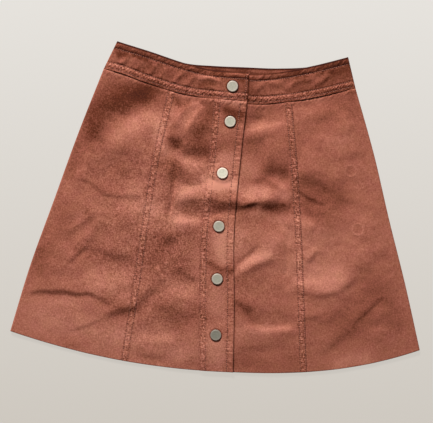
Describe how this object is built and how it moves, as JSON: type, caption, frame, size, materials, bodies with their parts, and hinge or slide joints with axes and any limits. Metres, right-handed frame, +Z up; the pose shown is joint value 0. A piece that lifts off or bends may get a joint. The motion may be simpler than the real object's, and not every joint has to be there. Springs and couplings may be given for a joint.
{
  "type": "a-line skirt",
  "caption": "Short A-line skirt laid flat, in rust-brown brushed cloth, with princess seams, a shaped waistband and a front placket closed by round metal snaps.",
  "frame": {"origin": "middle of the laid skirt's outline, on the surface that it lies on", "axes": "+X across the front, towards the front's under side of the opening (the wearer's left); +Y from the hem to the waistband; +Z up from the surface, out of the front"},
  "size_m": [0.595, 0.471, 0.0121],
  "materials": {
    "cloth": "rust-brown brushed suede-like twill, matt with a short nap",
    "snap_cap": "matt pewter with a slightly brighter rim",
    "snap_back": "plain nickel plate"
  },
  "bodies": {
    "root": {"back_panel": "cloth", "front_side_left": "cloth", "front_centre_left": "cloth", "placket": "cloth", "front_centre_right": "cloth", "front_side_right": "cloth", "waistband_back": "cloth", "waistband_front_left": "cloth", "waistband_front_right": "cloth", "snap_cap_1": "snap_cap", "snap_cap_2": "snap_cap", "snap_cap_3": "snap_cap", "snap_cap_4": "snap_cap", "snap_cap_5": "snap_cap", "snap_cap_6": "snap_cap", "snap_socket_1": "snap_back", "snap_socket_2": "snap_back", "snap_socket_3": "snap_back", "snap_socket_4": "snap_back", "snap_socket_5": "snap_back", "snap_socket_6": "snap_back", "snap_stud_1": "snap_back", "snap_stud_2": "snap_back", "snap_stud_3": "snap_back", "snap_stud_4": "snap_back", "snap_stud_5": "snap_back", "snap_stud_6": "snap_back", "snap_post_1": "snap_back", "snap_post_2": "snap_back", "snap_post_3": "snap_back", "snap_post_4": "snap_back", "snap_post_5": "snap_back", "snap_post_6": "snap_back"}
  },
  "joints": []
}
